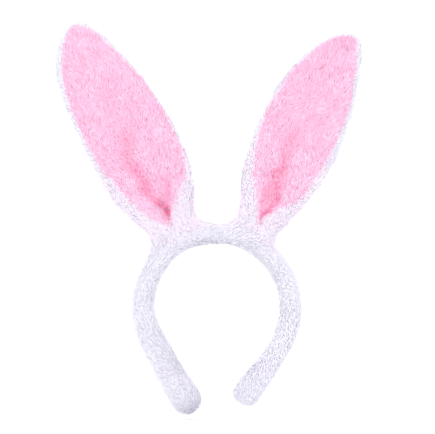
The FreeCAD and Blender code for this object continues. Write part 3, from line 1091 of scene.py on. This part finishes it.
def cover_hoop(name, zone, skin, skin_tree, pile):
    """Pile, sleeve and stitches of half the hoop. The left half also stands for the crown's nodes."""
    piles = white_pile("hoop_" + name + "_pile", zone, pile, lambda roots: -roots[:, 2])
    sleeve = skin_part("hoop_" + name + "_sleeve", skin, zone)
    seam = hoop_seam(name, ARMS[name], skin_tree)
    gathers = tip_gathers(name, ARMS[name], skin_tree)
    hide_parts(name + "_arm_sleeve", name + "_arm_padding")
    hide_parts(name + "_arm_seam")
    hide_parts(name + "_tip_stitches")
    if name == "left":
        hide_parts("crown_sleeve", "crown_padding")
        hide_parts("crown_seam")
    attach(gathers, name + "_arm")
    finish_and_bend([seam], bend_with_arm, name)
    finish_and_bend([sleeve] + piles, bend_with_arm, name)


def cover_ear(name, zone, skin, skin_tree, pile):
    """White pile and shell of an ear, and the stitches that hold it to the hoop."""
    piles = white_pile(name + "_ear_back_pile", zone, pile, lambda roots: to_flat(name, roots)[:, 1])
    shell = skin_part(name + "_ear_shell", skin, zone)
    thread = root_whips(name, skin_tree)
    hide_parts(name + "_ear_back", name + "_ear_wadding", name + "_ear_root")
    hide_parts(name + "_root_stitches")
    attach(thread, "crown")
    finish_and_bend([shell] + piles, bend_with_ear, name)


def cover_lining(name, ear, lining, lining_tree, skin_tree):
    """Pink pile of an ear's lining, the seam round it, and the tack that holds its fold."""
    roots, upright = scatter(lining, PINK_LOOK["density"])
    seen = upright[:, 1] < -0.1
    roots, upright = roots[seen], upright[seen]
    place = to_flat(name, roots)
    edge = from_edge(place, ear["lining"])
    share = RIM_SHARE + (1 - RIM_SHARE) * smoothstep(0, RIM_WIDTH, edge)
    # painted shade along the crease, its branch and broadly down the lining's middle, where the fold shades the
    # pile
    fold = valley(place, ear["crease"], PAINTED_CREASE_SHADE)
    fold += valley(place, ear["branch"], PAINTED_BRANCH_SHADE)
    fold += valley(place, ear["crease"], PAINTED_BROAD_SHADE)
    piles = make_pile(name + "_ear_lining_pile", roots, upright, ear_flow(name, LINING_FAN)(roots),
                      fold, place[:, 1], PINK_LOOK, PINK_PILE, share)
    thread = lining_stitches(name, ear, skin_tree)
    bar = tack(name, ear, lining_tree)
    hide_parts(name + "_ear_lining")
    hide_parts(name + "_ear_seam")
    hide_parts(name + "_ear_tack")
    finish_and_bend([lining] + piles, bend_with_ear, name)
    finish_and_bend([thread, bar], bend_with_ear, name)


def headband():
    """Everything that shows."""
    skin = whole_skin()
    skin_tree = tree_of(skin)
    linings = {name: ear_lining(name, ear, skin_tree) for name, ear in EARS.items()}
    lining_trees = {name: tree_of(piece) for name, piece in linings.items()}
    pile = white_roots(skin, lining_trees)
    for number, name in enumerate(ARMS):
        cover_hoop(name, number, skin, skin_tree, pile)
    for number, name in enumerate(EARS):
        cover_ear(name, 2 + number, skin, skin_tree, pile)
    for name, ear in EARS.items():
        cover_lining(name, ear, linings[name], lining_trees[name], skin_tree)
    bpy.data.objects.remove(skin)


def hidden_parts():
    """The plastic strip and the ear wires keep their CAD shapes."""
    for node, thing in frame["nodes"].items():
        for item in thing.material_slots:
            if node.startswith("hoop_core"):
                item.material = STRIP_PLASTIC
            if node.endswith("_ear_wire"):
                item.material = WIRE_STEEL


# ---- stage, light and camera


def floor(level):
    """A pale paper floor, lit through so that it has no horizon."""
    material, nodes, links, shader = node_material("stage_paper")
    fibre = noise_factor(nodes, links, 40.0, 0.3, 0.7)
    links.new(mixed_colours(nodes, links, fibre, (0.94, 0.94, 0.945), (0.96, 0.96, 0.96)),
              shader.inputs["Base Color"])
    set_sockets(shader, {"Roughness": 0.95, "Specular IOR Level": 0.0, "Emission Color": (1, 1, 1, 1),
                         "Emission Strength": 0.06})
    corners = [(-1, -1), (1, -1), (1, 1), (-1, 1)]
    points = np.array([(x * FLOOR_REACH, y * FLOOR_REACH, level) for x, y in corners]) / MM
    make_mesh("stage_floor", points, [(0, 1, 2, 3)], material)


def soft_sun(name, direction, strength, spread):
    light = bpy.data.lights.new(name, "SUN")
    light.energy = strength
    light.angle = math.radians(spread)
    put(name, light).rotation_euler = Vector(direction).to_track_quat("-Z", "Y").to_euler()


def surroundings():
    world = bpy.data.worlds.new("studio")
    world.use_nodes = True
    set_sockets(world.node_tree.nodes["Background"],
                {"Color": (1, 1, 1, 1), "Strength": WORLD_STRENGTH})
    bpy.context.scene.world = world
    bpy.context.scene.view_settings.view_transform = "Standard"


def front_camera(centre):
    """A long lens straight in front of the object."""
    data = bpy.data.cameras.new("camera")
    data.sensor_width = SENSOR_WIDTH
    data.lens = SENSOR_WIDTH * CAMERA_DISTANCE / VIEW_WIDTH
    camera = put("camera", data)
    camera.location = (centre[0] + CAMERA_ASIDE[0], -CAMERA_DISTANCE, centre[2] + CAMERA_ASIDE[1])
    camera.rotation_euler = (math.radians(90), 0, 0)
    bpy.context.scene.camera = camera


headband()
hidden_parts()
floor(CAD_BOX[0][2] - FLOOR_GAP)
for label, light in LIGHTS.items():
    soft_sun(label, *light)
surroundings()
front_camera((np.array(CAD_BOX[0]) + np.array(CAD_BOX[1])) / 2)
